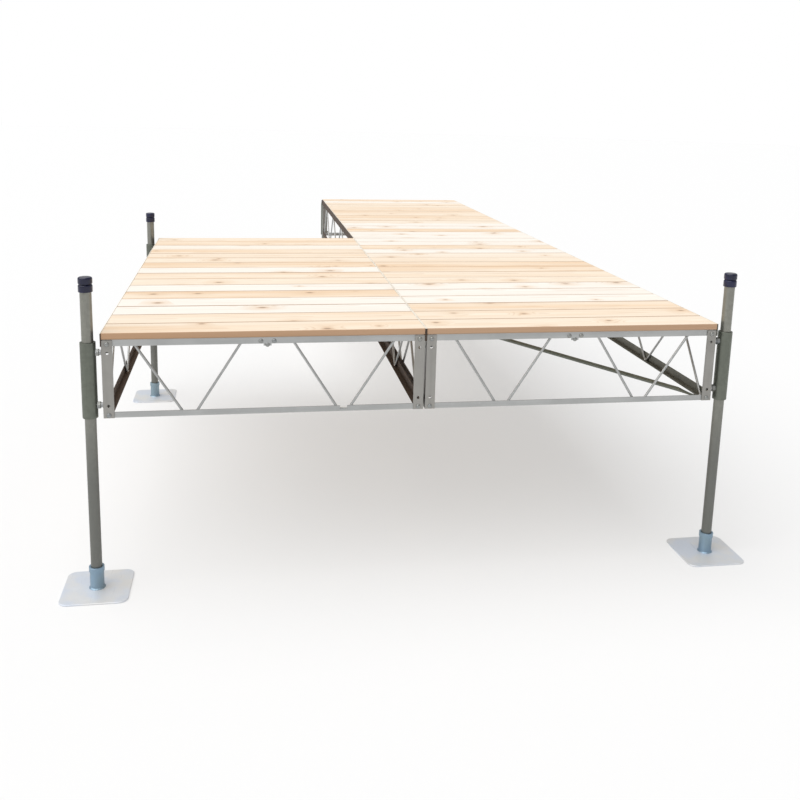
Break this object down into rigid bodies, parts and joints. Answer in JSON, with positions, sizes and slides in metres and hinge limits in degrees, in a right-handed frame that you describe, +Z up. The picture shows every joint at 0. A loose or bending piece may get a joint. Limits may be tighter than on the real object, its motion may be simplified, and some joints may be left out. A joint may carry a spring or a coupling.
{
  "type": "L-shaped sectional jetty on pipe legs",
  "caption": "L-shaped jetty of framed deck sections with timber boards, zig-zag truss sides and adjustable pipe legs on square foot plates.",
  "frame": {"origin": "on the ground under the middle of the whole jetty's footprint", "axes": "+X to the right seen from the outer end, +Y from the outer end towards the shore end, +Z up"},
  "size_m": [2.784, 5.153, 1.229],
  "materials": {
    "cedar_boards": "planed, unfinished softwood with knots",
    "frame_aluminium": "mill finish, satin",
    "side_aluminium": "mill finish, dull and stained",
    "post_aluminium": "mill finish, dull",
    "galvanised_sleeve": "dull galvanised",
    "galvanised_pipe": "dull galvanised",
    "zinc_foot": "bright zinc plate",
    "dark_cap": "glossy dark blue-black plastic"
  },
  "bodies": {
    "root": {"near_left_deck_boards": "cedar_boards", "near_left_bearer": "frame_aluminium", "near_left_front_truss": "frame_aluminium", "near_left_back_truss": "frame_aluminium", "near_left_side_chords": "side_aluminium", "near_left_left_web": "frame_aluminium", "near_left_right_web": "frame_aluminium", "near_left_corner_posts": "post_aluminium", "near_right_deck_boards": "cedar_boards", "near_right_bearer": "frame_aluminium", "near_right_front_truss": "frame_aluminium", "near_right_back_truss": "frame_aluminium", "near_right_side_chords": "side_aluminium", "near_right_left_web": "frame_aluminium", "near_right_right_web": "frame_aluminium", "near_right_corner_posts": "post_aluminium", "far_right_deck_boards": "cedar_boards", "far_right_bearer": "frame_aluminium", "far_right_front_truss": "frame_aluminium", "far_right_back_truss": "frame_aluminium", "far_right_side_chords": "side_aluminium", "far_right_left_web": "frame_aluminium", "far_right_right_web": "frame_aluminium", "far_right_corner_posts": "post_aluminium", "near_right_brace": "galvanised_pipe", "far_right_brace": "galvanised_pipe", "front_left_leg_sleeve": "galvanised_sleeve", "front_left_leg_pipe": "galvanised_pipe", "front_left_leg_foot": "zinc_foot", "front_left_leg_cap": "dark_cap", "front_right_leg_sleeve": "galvanised_sleeve", "front_right_leg_pipe": "galvanised_pipe", "front_right_leg_foot": "zinc_foot", "front_right_leg_cap": "dark_cap", "rear_left_leg_sleeve": "galvanised_sleeve", "rear_left_leg_pipe": "galvanised_pipe", "rear_left_leg_foot": "zinc_foot", "rear_left_leg_cap": "dark_cap", "shore_left_leg_sleeve": "galvanised_sleeve", "shore_left_leg_pipe": "galvanised_pipe", "shore_left_leg_foot": "zinc_foot", "shore_left_leg_cap": "dark_cap", "shore_right_leg_sleeve": "galvanised_sleeve", "shore_right_leg_pipe": "galvanised_pipe", "shore_right_leg_foot": "zinc_foot", "shore_right_leg_cap": "dark_cap"}
  },
  "joints": []
}
